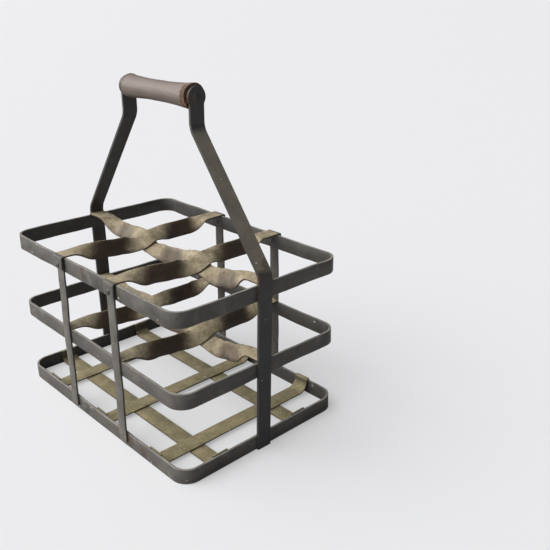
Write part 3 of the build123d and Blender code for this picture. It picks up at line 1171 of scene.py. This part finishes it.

# %% [markdown]
# The break is found by its distance from the middle of the ball that cut it. Its torn wood is painted lighter
# than
# the bare rim: painted light that lifts the shade in the hollow. The rim beside it is bare too, in a band
# round the end that only the front has, with a border that a noise makes ragged.

# %% Grip wood
wood, tree, shader = start_material("grip_wood")
grained = use(tree, wood_grain)
patch = use(tree, tone_group, Scale=42, Contrast=2.2)["Tone"]
warm = use(tree, tone_group, Scale=70, Contrast=3.0)["Tone"]
body = blend(tree, grained["Grain"], colour(95, 84, 75), colour(112, 100, 90))
body = blend(tree, ramp(tree, patch, 0.5, 0.9, 0.0, 0.55), body, colour(116, 98, 84))
body = blend(tree, ramp(tree, warm, 0.75, 1.1, 0.0, 0.4), body, colour(128, 100, 84))
body = blend(tree, maths(tree, "MULTIPLY", grained["Checks"], 0.6), body, colour(62, 52, 47))
here = put(tree, "ShaderNodeTexCoord").outputs["Object"]
along_grip, across_grip, up_grip = put(tree, "ShaderNodeSeparateXYZ", {0: here}).outputs
palm_dark = ramp(tree, up_grip, rod_z + 2 * mm, rod_z + 9 * mm, 0.0, 0.55)
body = blend(tree, palm_dark, body, colour(86, 67, 59))
from_chip = put(
    tree, "ShaderNodeVectorMath", {0: here, 1: tuple(chip_middle)}, operation="DISTANCE"
).outputs["Value"]
in_chip = ramp(tree, from_chip, chip_radius + 1.5 * mm, chip_radius + 0.9 * mm)
ragged = maths(tree, "MULTIPLY", noise(tree, here, 340.0, 6.0, 0.65), 5 * mm)
near_end = maths(tree, "ADD", along_grip, ragged)
bare_end = ramp(tree, near_end, grip_high.x - 5.2 * mm, grip_high.x - 4.4 * mm)
facing = ramp(tree, maths(tree, "ADD", across_grip, ragged), -2 * mm, -4 * mm)
torn_face = maths(tree, "MAXIMUM", in_chip, maths(tree, "MULTIPLY", bare_end, facing))
splinters = ramp(tree, noise(tree, here, 620.0, 6.0, 0.75), 0.36, 0.64)
fresh = blend(tree, splinters, colour(38, 28, 20), colour(104, 76, 52))
# Orange-brown torn wood inside the break, painted lighter as painted light against the shade in the hollow.
hollow_with_painted_light = blend(tree, splinters, colour(70, 50, 37), colour(140, 101, 72))
body = blend(tree, torn_face, body, fresh)
body = blend(tree, in_chip, body, hollow_with_painted_light)
tree.links.new(body, shader.inputs["Base Color"])
tree.links.new(ramp(tree, torn_face, 0.0, 1.0, 0.46, 0.85), shader.inputs["Roughness"])
relief = maths(tree, "SUBTRACT", grained["Grain"], grained["Checks"])
bump = put(tree, "ShaderNodeBump", {"Strength": 0.3, "Distance": 0.0003, "Height": relief})
tree.links.new(bump.outputs["Normal"], shader.inputs["Normal"])
finishes["grip_wood"] = wood
print("grip wood:", len(tree.nodes), "nodes")

# %% [markdown]
# ## Riding on the frame
# Each piece rides on the CAD body it belongs to, stands for its node, and names the record's material slot.
# Everything is one body with the crate except the grip, which turns on the rod.

# %% Ride, replace and paint
def stands_for(piece, node, slot, body="crate"):
    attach(piece, body)
    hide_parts(node)
    piece.data.materials.clear()
    piece.data.materials.append(finishes[slot])


for tier, piece in hoops.items():
    stands_for(piece, f"{tier}_hoop", "hoop_iron")
for node, piece in floor.items():
    stands_for(piece, node, "floor_iron")
for node, piece in uprights.items():
    stands_for(piece, node, "upright_iron")
for node, piece in arms.items():
    stands_for(piece, node, "arm_iron")
for node, piece in dividers.items():
    stands_for(piece, node, "divider_iron")
stands_for(rivets, "lap_rivets", "rivet_iron")
stands_for(rod, "handle_rod", "rivet_iron")
stands_for(grip, "wooden_grip", "grip_wood", body="grip")

# %% [markdown]
# ## Stage, light and camera
# The crate stands on a plain pale floor. The floor is drawn paler to the camera than it is to the light that
# bounces from it, so that it looks like a studio's paper without lighting the straps from below. It runs far
# enough that the camera, which looks down, doesn't see its edge.

# %% Floor
floor_size = 60
below_feet = 0.2 * mm
let_go()
bpy.ops.mesh.primitive_plane_add(size=floor_size, location=(0, 0, -below_feet))
ground = named("ground")
floor_seen, floor_bounce = (0.34, 0.34, 0.345, 1), (0.26, 0.26, 0.27, 1)
floor_glow = 0.36
paint, tree, shader = start_material("pale_floor")
direct = put(tree, "ShaderNodeLightPath").outputs["Is Camera Ray"]
drawn = blend(tree, direct, floor_bounce, floor_seen)
tree.links.new(drawn, shader.inputs["Base Color"])
shader.inputs["Emission Color"].default_value = (1, 1, 1, 1)
tree.links.new(maths(tree, "MULTIPLY", direct, floor_glow), shader.inputs["Emission Strength"])
shader.inputs["Roughness"].default_value = 0.9
shader.inputs["Specular IOR Level"].default_value = 0.2
ground.data.materials.append(paint)
print("floor of", floor_size, "m")

# %% [markdown]
# A wide soft sun from the left front lights the long side, and the room is brighter on that side too, so the
# short side falls dark, as iron does near a window. The camera sees the room as plain pale grey.

# %% Window light and room
sun_side = Vector((-0.34, -0.7, 0.8))
window_side = Vector((-0.62, -0.74, 0.28)).normalized()
room_dark, room_bright, room_seen = (0.13, 0.135, 0.145, 1), (2.4, 2.4, 2.45, 1), (0.82, 0.825, 0.84, 1)
sun = bpy.data.lights.new("window", "SUN")
sun.energy = 2.2
sun.angle = math.radians(60)
sun_object = bpy.data.objects.new("window", sun)
sun_object.rotation_mode = "QUATERNION"
sun_object.rotation_quaternion = sun_side.to_track_quat("Z", "Y")
bpy.context.scene.collection.objects.link(sun_object)

world = bpy.data.worlds.new("room")
world.use_nodes = True
room = world.node_tree
looking = put(room, "ShaderNodeTexCoord").outputs["Generated"]
toward = put(
    room, "ShaderNodeVectorMath", {0: looking, 1: tuple(window_side)}, operation="DOT_PRODUCT"
).outputs["Value"]
glow = blend(room, ramp(room, toward, 0.0, 0.95), room_dark, room_bright)
seen = put(room, "ShaderNodeLightPath").outputs["Is Camera Ray"]
room.links.new(blend(room, seen, glow, room_seen), room.nodes["Background"].inputs["Color"])
bpy.context.scene.world = world
bpy.context.scene.view_settings.view_transform = "Standard"
print("sun", sun.energy, "W/m2,", round(math.degrees(sun.angle)), "degrees wide")

# %% [markdown]
# The camera looks down from the front right corner at about 22 degrees, from three quarters of a metre,
# close enough for the near corner to look larger than the far one. It rolls by a sixth of a degree.

# %% Camera
azimuth, elevation, roll = math.radians(46.242), math.radians(22.104), 0.0028
aim = Vector((81.104, 72.422, 140.959)) * mm
distance = 748.14 * mm
back = Vector(
    (math.sin(azimuth) * math.cos(elevation), -math.cos(azimuth) * math.cos(elevation), math.sin(elevation))
)
level_right = Vector((math.cos(azimuth), math.sin(azimuth), 0))
level_up = back.cross(level_right)
right = level_right * math.cos(roll) + level_up * math.sin(roll)
up = level_up * math.cos(roll) - level_right * math.sin(roll)
camera_data = bpy.data.cameras.new("camera")
camera_data.lens = 47.13
camera_data.sensor_width = 36
camera = bpy.data.objects.new("camera", camera_data)
turned = Matrix((right, up, back)).transposed().to_4x4()
camera.matrix_world = Matrix.Translation(aim + back * distance) @ turned
bpy.context.scene.collection.objects.link(camera)
bpy.context.scene.camera = camera
print("camera", [round(v, 3) for v in camera.matrix_world.translation], "lens", camera_data.lens)
